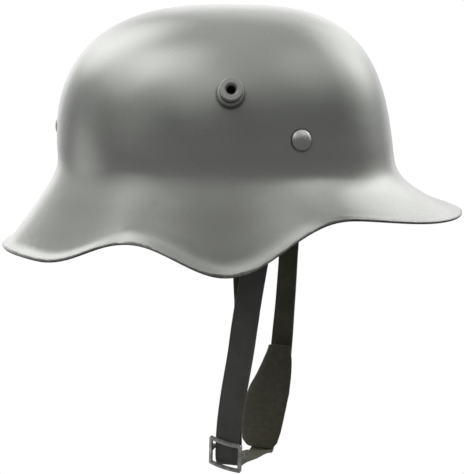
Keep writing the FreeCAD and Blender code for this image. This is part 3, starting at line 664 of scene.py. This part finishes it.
# A cubic through the points with set directions at both ends, measured along its length
class SmoothRoute:
    spanSteps = 40

    def __init__(self, points, startRun, endRun):
        points = np.array(points)
        knots = np.concatenate(([0], np.cumsum(np.linalg.norm(np.diff(points, axis=0), axis=1))))
        count = len(points)
        matrix = np.zeros((count, count))
        right = np.zeros((count, 3))
        matrix[0, 0] = matrix[-1, -1] = 1
        right[0], right[-1] = startRun, endRun
        for i in range(1, count - 1):
            before, after = knots[i] - knots[i - 1], knots[i + 1] - knots[i]
            matrix[i, i - 1:i + 2] = after, 2 * (before + after), before
            ahead, behind = points[i + 1] - points[i], points[i] - points[i - 1]
            right[i] = 3 * (before * ahead / after + after * behind / before)
        slopes = np.linalg.solve(matrix, right)
        fine, runs = [], []
        for i in range(count - 1):
            span = knots[i + 1] - knots[i]
            for step in range(self.spanSteps + (i == count - 2)):
                t = step / self.spanSteps
                h = (2 * t ** 3 - 3 * t ** 2 + 1, t ** 3 - 2 * t ** 2 + t,
                     3 * t ** 2 - 2 * t ** 3, t ** 3 - t ** 2)
                d = (6 * t ** 2 - 6 * t, 3 * t ** 2 - 4 * t + 1, 6 * t - 6 * t ** 2, 3 * t ** 2 - 2 * t)
                parts = (points[i], slopes[i] * span, points[i + 1], slopes[i + 1] * span)
                fine.append(sum(a * b for a, b in zip(h, parts)))
                runs.append(sum(a * b for a, b in zip(d, parts)))
        self.fine, self.runs = np.array(fine), np.array(runs)
        steps = np.linalg.norm(np.diff(self.fine, axis=0), axis=1)
        self.lengths = np.concatenate(([0], np.cumsum(steps)))
        self.stops = [self.lengths[min(i * self.spanSteps, len(self.lengths) - 1)] for i in range(count)]

    def at(self, distance):
        point = [np.interp(distance, self.lengths, self.fine[:, k]) for k in range(3)]
        run = Vector([np.interp(distance, self.lengths, self.runs[:, k]) for k in range(3)])
        return Vector(point), run.normalized()


def eased(place, places, values):
    for start, end, first, last in zip(places, places[1:], values, values[1:]):
        share = (place - start) / (end - start)
        if share <= 1:
            share = max(share, 0)
            return first + (last - first) * share * share * (3 - 2 * share)
    return values[-1]


def outlineAt(rows, share):
    shares = [row[0] for row in rows]
    return [np.interp(share, shares, [row[k] for row in rows]) for k in (1, 2)]


def strapRoute(s):
    eyeX, eyeY, eyeZ = s["eye"]
    downs, bars = [], []
    for side, lean, drop in ((-1, s["hookLean"], s["hookDrop"]), (1, s["linkLean"], s["linkDrop"])):
        angle = math.radians(lean)
        downs.append(Vector((-math.sin(angle), 0, -math.cos(angle))))
        bars.append(Vector((eyeX, side * eyeY, eyeZ)) + downs[-1] * drop)
    points = [bars[0] - Vector((0, s["layerOut"], 0))]
    for back, across, fall, twist in s["route"]:
        points.append(Vector((eyeX - s["setback"] * back, eyeY * across, -s["fall"] * fall)))
    points.append(bars[1] + Vector((0, s["layerOut"], 0)))
    return SmoothRoute(points, downs[0], downs[1] * -1), bars


def strapFrame(route, s, distance):
    twists = [0] + [share[3] for share in s["route"]] + [0]
    angle = math.radians(eased(distance, route.stops, twists))
    centre, run = route.at(distance)
    side = 1 if run.z <= 0 else -1
    across = Vector((math.cos(angle), math.sin(angle) * side, 0))
    across = (across - run * across.dot(run)).normalized()
    return centre, run, across, across.cross(run)


def strapPlaces(route, bars, s):
    total = route.stops[-1]
    spacing = s["spacing"]
    count = int(total / spacing)
    frames = [strapFrame(route, s, total * i / count) for i in range(count + 1)]
    lying = s["thickness"] + s["layerGap"]

    def innerLayer(some, slip=0.0):
        last = len(some) - 1
        layer = []
        for i, (centre, run, across, inner) in enumerate(some):
            part = max(1 - i / s["closingRings"], 1 - (last - i) / s["closingRings"], 0)
            inward = lying + (2 * s["layerOut"] - lying) * part * part * (3 - 2 * part)
            aside = slip * eased(i * spacing, s["slipPlaces"], (0, 1, 1, 0))
            layer.append((centre + inner * inward - across * aside, across, inner * -1))
        return layer[::-1]

    def overBar(one, bar, upwards):
        centre, run, across, inner = one
        places = []
        for i in range(1, s["barRings"]):
            angle = math.pi * i / s["barRings"]
            out = run * (upwards * math.sin(angle)) - inner * math.cos(angle)
            places.append((bar + out * s["layerOut"], across, out * -1))
        return places

    toBuckle = int(route.stops[s["buckleStation"]] / spacing) + s["pastBuckleRings"]
    places = innerLayer(frames[:toBuckle], s["slip"])
    places += overBar(frames[0], bars[0], -1)[::-1]
    places += [(centre, across, inner) for centre, run, across, inner in frames]
    places += overBar(frames[-1], bars[1], 1)
    places += innerLayer(frames[-s["linkTailRings"]:])
    return places


def strapOutline(s):
    half, thick, corner = s["width"] / 2, s["thickness"] / 2, s["corner"]
    crease, wide, deep = half - s["creaseInset"], s["creaseHalfWidth"], s["creaseDepth"]
    cut = s["cornerCut"] * corner
    side = [(half, -thick + corner), (half - cut, -thick + cut), (half - corner, -thick)]
    face = [(crease + wide, -thick), (crease, -thick + deep), (crease - wide, -thick),
            (crease / 2, -thick), (0, -thick)]
    quarter = side + face
    lower = quarter + [(-a, b) for a, b in quarter[-2::-1]]
    return lower + [(-a, -b) for a, b in lower]


def makeStrap(s):
    route, bars = strapRoute(s)
    outline = strapOutline(s)
    rings = []
    for centre, across, inner in strapPlaces(route, bars, s):
        rings.append([centre + across * a + inner * b for a, b in outline])
    mesh = sweptMesh("chinstrapLeather", rings)
    piece = newObject("chinstrapLeather", mesh, "chinstrap", leathers["strapLeather"])
    mesh.materials.append(leathers["strapEdgeLeather"])
    mesh.materials.append(leathers["strapFleshSide"])
    half = s["width"] / 2 - s["edgeReach"] * s["corner"]
    count = len(outline)
    for face in mesh.polygons:
        places = [outline[v % count] for v in face.vertices]
        if len(places) == 4 and min(abs(a) for a, b in places) > half:
            face.material_index = 1
        elif sum(b for a, b in places) > 0:
            face.material_index = 2
    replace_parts(piece, "chinstrap")
    return route


strapPath = makeStrap(strapSettings)
print("stage: chinstrap, route", round(strapPath.stops[-1], 4), "m")


# Chin pad: a suede pad with a pressed groove near its rim, on the inside of the strap's left half
padSettings = {
    "length": 0.0750,
    "halfWidth": 0.0155,
    "thickness": 0.0046,
    "gap": 0.0003,
    # share of the length, then of the half width and of the thickness
    "outline": (
        (0.0, 0.53, 0.45), (0.012, 0.555, 0.62), (0.04, 0.57, 0.8), (0.13, 0.69, 0.95),
        (0.28, 0.84, 1.0), (0.44, 0.98, 1.0), (0.58, 0.98, 1.0), (0.71, 0.94, 1.0),
        (0.84, 0.88, 0.95), (0.94, 0.78, 0.8), (0.985, 0.62, 0.62), (1.0, 0.48, 0.45)),
    "bulge": 0.0034,
    "bulgePlaces": (0.30, 0.70, 0.92, 1.0),
    "bulgeShares": (0, 1, 0.9, 0.5),
    "edgePower": 0.7,
    "facePower": 0.8,
    "groovePlace": 0.93,
    "grooveSharpness": 14,
    "grooveDepth": 0.18,
    "rows": 110,
    "columns": 56,
    "seed": 5,
    # soft ripples: their height, how many heights are drawn, and the rows and columns that share one
    "ripple": 0.00008,
    "ripples": 64,
    "rippleRows": 6,
    "rippleColumns": 5,
    "rippleShift": 17,
}


def padSurface(route, p, s, share, angle):
    top, bend = route.stops[s["padTopStation"]], route.stops[s["padBendStation"]]
    wide, thick = outlineAt(p["outline"], share)
    distance = top - p["length"] * share
    centre, run, across, inner = strapFrame(route, s, max(distance, bend))
    centre = centre + run * min(distance - bend, 0)
    out = s["thickness"] / 2 + p["gap"] + p["thickness"] / 2
    c, n = math.cos(angle), math.sin(angle)
    a = math.copysign(abs(c) ** p["edgePower"], c) * (wide * p["halfWidth"])
    a -= p["bulge"] * eased(share, p["bulgePlaces"], p["bulgeShares"]) * (1 - c) / 2
    b = math.copysign(abs(n) ** p["facePower"], n) * (thick * p["thickness"] / 2)
    rim = min(abs(abs(c) - p["groovePlace"]) * p["grooveSharpness"], 1)
    b *= 1 - p["grooveDepth"] + p["grooveDepth"] * rim
    return centre + across * a + inner * (out + b), inner


def makePad(p, s, route):
    rings = []
    wobble = random.Random(p["seed"])
    ripple = [wobble.uniform(-1, 1) for _ in range(p["ripples"])]
    for i in range(p["rows"] + 1):
        share = i / p["rows"]
        along = ripple[i // p["rippleRows"] % p["ripples"]]
        ringPoints = []
        for j in range(p["columns"]):
            angle = math.tau * j / p["columns"]
            point, inner = padSurface(route, p, s, share, angle)
            soft = 0.5 * along + 0.5 * ripple[(j // p["rippleColumns"] + p["rippleShift"]) % p["ripples"]]
            ringPoints.append(point + inner * (p["ripple"] * soft * math.sin(angle)))
        rings.append(ringPoints)
    mesh = sweptMesh("chinPadSuede", rings)
    piece = newObject("chinPadSuede", mesh, "chinstrap", leathers["padSuede"])
    addModifier(piece, "SUBSURF", levels=1, render_levels=1)
    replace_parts(piece, "chin_pad")


makePad(padSettings, strapSettings, strapPath)
print("stage: chin pad")


# Cushions: cloth bags of horsehair between the leather fingers and the steel
cushionSettings = {
    "bottom": 0.019,
    "top": 0.049,
    "halfWidth": 0.025,
    "gapShare": 0.11,
    # tufts: how deep, and how many up and round
    "tuft": 0.10,
    "tuftRows": 2,
    "tuftColumns": 4,
    "fullness": 0.95,
    # share of the height, then of the half width and of the filling
    "outline": ((0.0, 0.80, 0.30), (0.08, 0.97, 0.62), (0.25, 1.0, 0.88), (0.5, 0.95, 1.0),
                (0.75, 1.0, 0.88), (0.92, 0.97, 0.62), (1.0, 0.80, 0.30)),
    "rows": 26,
    "columns": 40,
}


# The turn of the dome's outline that lies in the direction of an azimuth
def turnToward(azimuth):
    f = formSettings
    return math.atan2(math.sin(azimuth) / f["halfWidth"], math.cos(azimuth) / f["halfLength"])


def makeCushion(name, azimuth, side, c):
    f = formSettings
    centre = turnToward(azimuth)
    half = c["halfWidth"] / f["halfWidth"]
    rings = []
    for i in range(c["rows"] + 1):
        share = i / c["rows"]
        wide, fill = outlineAt(c["outline"], share)
        height = c["bottom"] + (c["top"] - c["bottom"]) * share
        points = []
        for j in range(c["columns"]):
            angle = math.tau * j / c["columns"]
            turn = centre + half * wide * math.cos(angle)
            inner, outer = headPoint(turn, height, f["leather"]), domePoint(turn, height, f["sheet"])
            tufting = math.cos(share * math.tau * c["tuftRows"]) * math.cos(angle * c["tuftColumns"])
            plump = 1 - c["tuft"] * tufting
            reach = 0.5 + (0.5 - c["gapShare"]) * fill * math.sin(angle) * plump * c["fullness"]
            point = inner + (outer - inner) * reach
            points.append(Vector((point.x, point.y * side, point.z)))
        rings.append(points)
    mesh = sweptMesh("cloth_" + name, rings)
    piece = newObject("cloth_" + name, mesh, "helmet", cushionCloth)
    addModifier(piece, "SUBSURF", levels=1, render_levels=1)
    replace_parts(piece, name)


# The front pad ends near the side rivets, and the two rear pads near them and at the back
linerSettings = {
    "rivetAhead": 0.043,
    "rivetAside": 0.08525,
    "padGap": 0.017,
}
rivetAzimuth = math.atan2(linerSettings["rivetAside"], linerSettings["rivetAhead"] + formSettings["back"])
halfGap = linerSettings["padGap"] / 2 / formSettings["halfLength"]
frontSpan = (halfGap - rivetAzimuth, rivetAzimuth - halfGap)
rearSpan = (rivetAzimuth + halfGap, math.pi - halfGap)


def fingerAzimuths(first, last):
    quarter = (last - first) / 4
    return first + quarter, last - quarter


cushionAzimuths = {"front": fingerAzimuths(*frontSpan)[1], "side": fingerAzimuths(*rearSpan)[0],
                   "rear": fingerAzimuths(*rearSpan)[1]}
for where, azimuth in cushionAzimuths.items():
    makeCushion("cushion_" + where + "_left", azimuth, 1, cushionSettings)
    makeCushion("cushion_" + where + "_right", azimuth, -1, cushionSettings)
print("stage: cushions")


# Turned fittings: a profile of radius and height, spun about the axis of its seat
turnSettings = {
    "sides": 72,
    "bevel": 0.00022,
}
lugSettings = {
    "ahead": 0.0,
    "rise": 0.0282,
    # radius, height, and 1 where the stretch that follows lies in a groove
    "profile": (
        (0.0026, -0.0034, 0), (0.0049, -0.0034, 0), (0.0049, -0.0026, 0), (0.0040, -0.0026, 0),
        (0.0040, -0.0006, 0), (0.0083, -0.0006, 0), (0.0083, 0.0046, 0), (0.0078, 0.0053, 0),
        (0.0068, 0.0054, 1), (0.0066, 0.0060, 1), (0.0066, 0.0093, 1), (0.0069, 0.0096, 0),
        (0.0073, 0.0098, 0), (0.0073, 0.0112, 0), (0.0069, 0.0114, 1), (0.0068, 0.0118, 1),
        (0.0071, 0.0121, 0), (0.0072, 0.0130, 0), (0.0069, 0.0135, 0), (0.0045, 0.0135, 0),
        (0.0042, 0.0136, 0), (0.0038, 0.0134, 0), (0.0032, 0.0126, 0), (0.0027, 0.0120, 0),
        (0.0026, 0.0112, 1)),
}
rivetSettings = {
    "ahead": 0.043,
    "rise": 0.0,
    "radius": 0.0065,
    "crown": 0.0021,
    "rim": 0.0007,
    "foot": -0.0006,
    "shank": 0.0020,
    "legTop": 0.0039,
    "legThickness": 0.0008,
    "legHalfWidth": 0.0017,
    "legTipHalfWidth": 0.0001,
    "legLength": 0.0090,
    "legRows": 24,
    "crownRows": 14,
    "undercut": 0.0003,
    "shankOverlap": 0.0002,
}


def spun(name, seat, profile, closedEnds):
    base, axes = seat
    sides = turnSettings["sides"]
    rings = []
    for radius, height in profile:
        ringPoints = []
        for j in range(sides):
            angle = math.tau * j / sides
            place = Vector((radius * math.cos(angle), radius * math.sin(angle), height))
            ringPoints.append(base + axes @ place)
        rings.append(ringPoints)
    return sweptMesh(name, rings, closedEnds, not closedEnds)


def finishTurned(piece):
    addModifier(piece, "BEVEL", width=turnSettings["bevel"], segments=2,
                limit_method="ANGLE", angle_limit=0.5)
    addModifier(piece, "WEIGHTED_NORMAL", keep_sharp=True)


def makeLug(side, turn, s):
    name = "turnedLug" + side.capitalize()
    seat = steelSeat(turn, s["rise"])
    mesh = spun(name, seat, [(radius, height) for radius, height, groove in s["profile"]], False)
    piece = newObject(name, mesh, "helmet", lugPaint)
    # the grooves get the near-black material: grime and painted shade in the recesses
    mesh.materials.append(leathers["grooveGrimeAndShade"])
    for index, face in enumerate(mesh.polygons):
        face.material_index = s["profile"][index // turnSettings["sides"]][2]
    finishTurned(piece)
    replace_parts(piece, "lug_" + side)


def splitLegs(name, seat, s):
    base, axes = seat
    rings = []
    for i in range(s["legRows"] + 1):
        share = i / s["legRows"] * 2 - 1
        half = s["legHalfWidth"] * (1 - abs(share) ** 6) ** 0.5 + s["legTipHalfWidth"]
        low = -s["legTop"] - s["legThickness"]
        outline = ((-half, low), (half, low), (half, -s["legTop"]), (-half, -s["legTop"]))
        rings.append([base + axes @ Vector((s["legLength"] * share, a, b)) for a, b in outline])
    return sweptMesh(name, rings)


def makeRivet(side, turn, s):
    name = "domedRivet" + side.capitalize()
    seat = steelSeat(turn, s["rise"])
    ball = (s["radius"] ** 2 + s["crown"] ** 2) / (2 * s["crown"])
    centre = s["rim"] + s["crown"] - ball
    profile = []
    for i in range(1, s["crownRows"] + 1):
        radius = s["radius"] * i / s["crownRows"]
        profile.append((radius, centre + math.sqrt(ball * ball - radius * radius)))
    profile += [(s["radius"], 0.0), (s["radius"] - s["undercut"], s["foot"]), (s["shank"], s["foot"]),
                (s["shank"], -s["legTop"] - s["shankOverlap"])]
    mesh = joinMeshes(name, [spun(name, seat, profile, True), splitLegs(name + "Legs", seat, s)])
    piece = newObject(name, mesh, "helmet", rivetSteel)
    finishTurned(piece)
    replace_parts(piece, "liner_rivet_" + side)


lugTurn = turnAt(lugSettings["ahead"], lugSettings["rise"])
rivetTurn = turnAt(rivetSettings["ahead"], rivetSettings["rise"])
for side, sign in (("left", 1), ("right", -1)):
    makeLug(side, sign * lugTurn, lugSettings)
    makeRivet(side, sign * rivetTurn, rivetSettings)
makeRivet("rear", math.pi, rivetSettings)
print("stage: lugs and liner rivets")


# Leather pads: a strip along the band, and two fingers that curve in over the cushions
fingerSettings = {
    "stripTop": 0.011,
    "halfWidth": 0.038,
    "shoulder": 0.034,
    "tip": 0.059,
    "tipHalfWidth": 0.016,
    "corner": 0.007,
    "thickness": 0.0014,
    "stripRows": 6,
    "fingerRows": 30,
    "fingerColumns": 32,
    "gapColumns": 6,
    # the search for a place on the band: how far past the ends, in how many steps, and how near a finger
    "searchPast": 0.4,
    "searchSteps": 900,
    "searchReach": 0.95,
    "wave": 0.00016,
    "waveShare": 0.6,
    # waves for each radian along the band and each metre up, broad and fine
    "broadWave": (11, 210),
    "fineWave": (29, 390),
    "bevel": 0.0004,
}


def headReach(height):
    f = formSettings
    share = (height - f["headBottom"]) / (f["headCrown"] + f["leather"] / 2 - f["headBottom"])
    return math.sqrt(1 - share * share)


def fingerWidth(height, p):
    taper = np.interp(height, (p["shoulder"], p["tip"]), (p["halfWidth"], p["tipHalfWidth"]))
    near = max((height - p["tip"] + p["corner"]) / p["corner"], 0)
    return taper - p["corner"] * (1 - math.sqrt(max(1 - near * near, 0)))


def makePadLeather(name, first, last, p):
    f = formSettings
    middle = f["leather"] / 2
    turns = np.linspace(first - p["searchPast"], last + p["searchPast"], p["searchSteps"])
    bases = [domePoint(turn, f["headBottom"], f["headInset"] - middle) for turn in turns]
    columns, laid = [], turnToward(first)
    for azimuth in fingerAzimuths(first, last):
        offsets = np.array([base.y * math.cos(azimuth) - (base.x + f["back"]) * math.sin(azimuth)
                            for base in bases])
        near = np.abs(turns - azimuth) < p["searchReach"]
        edges = []
        for i in range(p["fingerColumns"] + 1):
            place = math.sin((i / p["fingerColumns"] - 0.5) * math.pi)
            stack = []
            for j in range(p["fingerRows"] + 1):
                climb = math.sin(j / p["fingerRows"] * math.pi / 2)
                height = p["stripTop"] + (p["tip"] - p["stripTop"]) * climb
                across = place * fingerWidth(height, p) / headReach(height)
                stack.append((float(np.interp(across, offsets[near], turns[near])), height))
            edges.append(stack)
        for i in range(p["gapColumns"]):
            columns.append((laid + (edges[0][0][0] - laid) * i / p["gapColumns"], None))
        columns += [(stack[0][0], stack) for stack in edges]
        laid = edges[-1][0][0]
    ending = turnToward(last)
    for i in range(1, p["gapColumns"] + 1):
        columns.append((laid + (ending - laid) * i / p["gapColumns"], None))

    points, numbers, faces = [], [], []
    wobble = random.Random(len(name))
    phase = [wobble.uniform(0, math.tau) for _ in range(4)]
    broad, fine = p["broadWave"], p["fineWave"]
    for turn, stack in columns:
        heights = [f["headBottom"] + (p["stripTop"] - f["headBottom"]) * i / p["stripRows"]
                   for i in range(p["stripRows"] + 1)]
        run = [(turn, height) for height in heights] + (stack[1:] if stack else [])
        numbers.append(range(len(points), len(points) + len(run)))
        for place, height in run:
            wave = math.sin(place * broad[0] + phase[0]) * math.sin(height * broad[1] + phase[1])
            wave += 0.5 * math.sin(place * fine[0] + phase[2]) * math.sin(height * fine[1] + phase[3])
            points.append(headPoint(place, height, middle + p["wave"] * wave * p["waveShare"]))
    for left, right in zip(numbers, numbers[1:]):
        for i in range(min(len(left), len(right)) - 1):
            faces.append((left[i], right[i], right[i + 1], left[i + 1]))
    mesh = bpy.data.meshes.new(name)
    mesh.from_pydata([tuple(point) for point in points], [], faces)
    piece = newObject(name, mesh, "helmet", leathers["linerLeather"])
    addModifier(piece, "SOLIDIFY", thickness=p["thickness"], offset=0.0)
    addModifier(piece, "BEVEL", width=p["bevel"], segments=2, limit_method="ANGLE", angle_limit=0.9)
    return piece


mirroredSpan = (-rearSpan[1], -rearSpan[0])
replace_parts(makePadLeather("leatherPadFront", *frontSpan, fingerSettings), "pad_front")
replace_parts(makePadLeather("leatherPadRearLeft", *rearSpan, fingerSettings), "pad_rear_left")
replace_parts(makePadLeather("leatherPadRearRight", *mirroredSpan, fingerSettings), "pad_rear_right")
print("stage: leather pads")


# Studio: plain white for the camera, and large soft lights in a dim room for the steel
studioSettings = {
    "floorDrop": 1.6,
    "floorHalf": 30,
    "room": 0.298,
    "ceiling": 0.83,
    # where the ceiling's light starts and is full: 0 is a level direction, 1 straight up
    "ceilingHeights": (0.2, 0.9),
    "fullAngle": 4.0,
    "outerAngle": 26.0,
    # azimuth from the camera's side towards the peak, elevation, strength
    "softboxes": (
        (-134.0, 37.0, 2.42), (138.0, 30.0, 1.93), (-80.0, 45.0, 1.40), (-160.0, 8.0, 1.45),
        (140.0, 10.0, 0.36), (-100.0, 15.0, 0.52), (-16.0, 41.0, 0.75), (-60.0, 60.0, 1.59),
        (-100.0, -20.0, 1.07), (160.0, 10.0, 0.71), (122.0, 25.0, 0.90), (-140.0, 10.0, 0.80),
        (-58.0, 22.0, 0.55), (122.0, 18.0, 0.45), (172.0, 28.0, 1.15), (170.0, 2.0, 0.55),
        (-118.0, 43.0, 1.00), (82.0, 45.0, 0.52),
    ),
}


def makeWorld(s):
    world = bpy.data.worlds.new("studio")
    scene.world = world
    world.use_nodes = True
    tree = world.node_tree
    tree.nodes.clear()
    link = tree.links.new
    out = addNode(tree, "ShaderNodeOutputWorld")
    place = addNode(tree, "ShaderNodeTexCoord")
    split = addNode(tree, "ShaderNodeSeparateXYZ")
    link(place.outputs["Generated"], split.inputs[0])
    start, full = s["ceilingHeights"]
    total = spread(tree, split.outputs["Z"], s["room"], s["room"] + s["ceiling"], start, full, "SMOOTHSTEP")
    edge, middle = math.cos(math.radians(s["outerAngle"])), math.cos(math.radians(s["fullAngle"]))
    for azimuth, elevation, strength in s["softboxes"]:
        a, e = math.radians(azimuth), math.radians(elevation)
        aim = addNode(tree, "ShaderNodeVectorMath", operation="DOT_PRODUCT")
        aim.inputs[1].default_value = (math.sin(a) * math.cos(e), -math.cos(a) * math.cos(e), math.sin(e))
        added = addNode(tree, "ShaderNodeMath", operation="ADD")
        link(place.outputs["Generated"], aim.inputs[0])
        link(total, added.inputs[0])
        link(spread(tree, aim.outputs["Value"], 0.0, strength, edge, middle, "SMOOTHSTEP"), added.inputs[1])
        total = added.outputs[0]
    lit = addNode(tree, "ShaderNodeBackground")
    plain = addNode(tree, "ShaderNodeBackground", {"Color": colour(1, 1, 1), "Strength": 1.0})
    path = addNode(tree, "ShaderNodeLightPath")
    mix = addNode(tree, "ShaderNodeMixShader")
    link(total, lit.inputs["Strength"])
    link(path.outputs["Is Camera Ray"], mix.inputs["Fac"])
    link(lit.outputs[0], mix.inputs[1])
    link(plain.outputs[0], mix.inputs[2])
    link(mix.outputs[0], out.inputs["Surface"])


def makeFloor(s):
    mesh = bpy.data.meshes.new("floor")
    half = s["floorHalf"]
    low = cadLow.z - s["floorDrop"]
    corners = [(-half, -half, low), (half, -half, low), (half, half, low), (-half, half, low)]
    mesh.from_pydata(corners, [], [(0, 1, 2, 3)])
    floor = bpy.data.objects.new("floor", mesh)
    scene.collection.objects.link(floor)
    material = bpy.data.materials.new("paleFloor")
    material.use_nodes = True
    tree = material.node_tree
    tree.nodes.clear()
    glow = addNode(tree, "ShaderNodeEmission", {"Color": colour(1, 1, 1), "Strength": 1.0})
    out = addNode(tree, "ShaderNodeOutputMaterial")
    tree.links.new(glow.outputs[0], out.inputs["Surface"])
    mesh.materials.append(material)
    floor.visible_diffuse = False
    floor.visible_glossy = False
    floor.visible_shadow = False


makeWorld(studioSettings)
makeFloor(studioSettings)
scene.view_settings.view_transform = "Standard"
scene.view_settings.look = "None"
print("stage: studio")
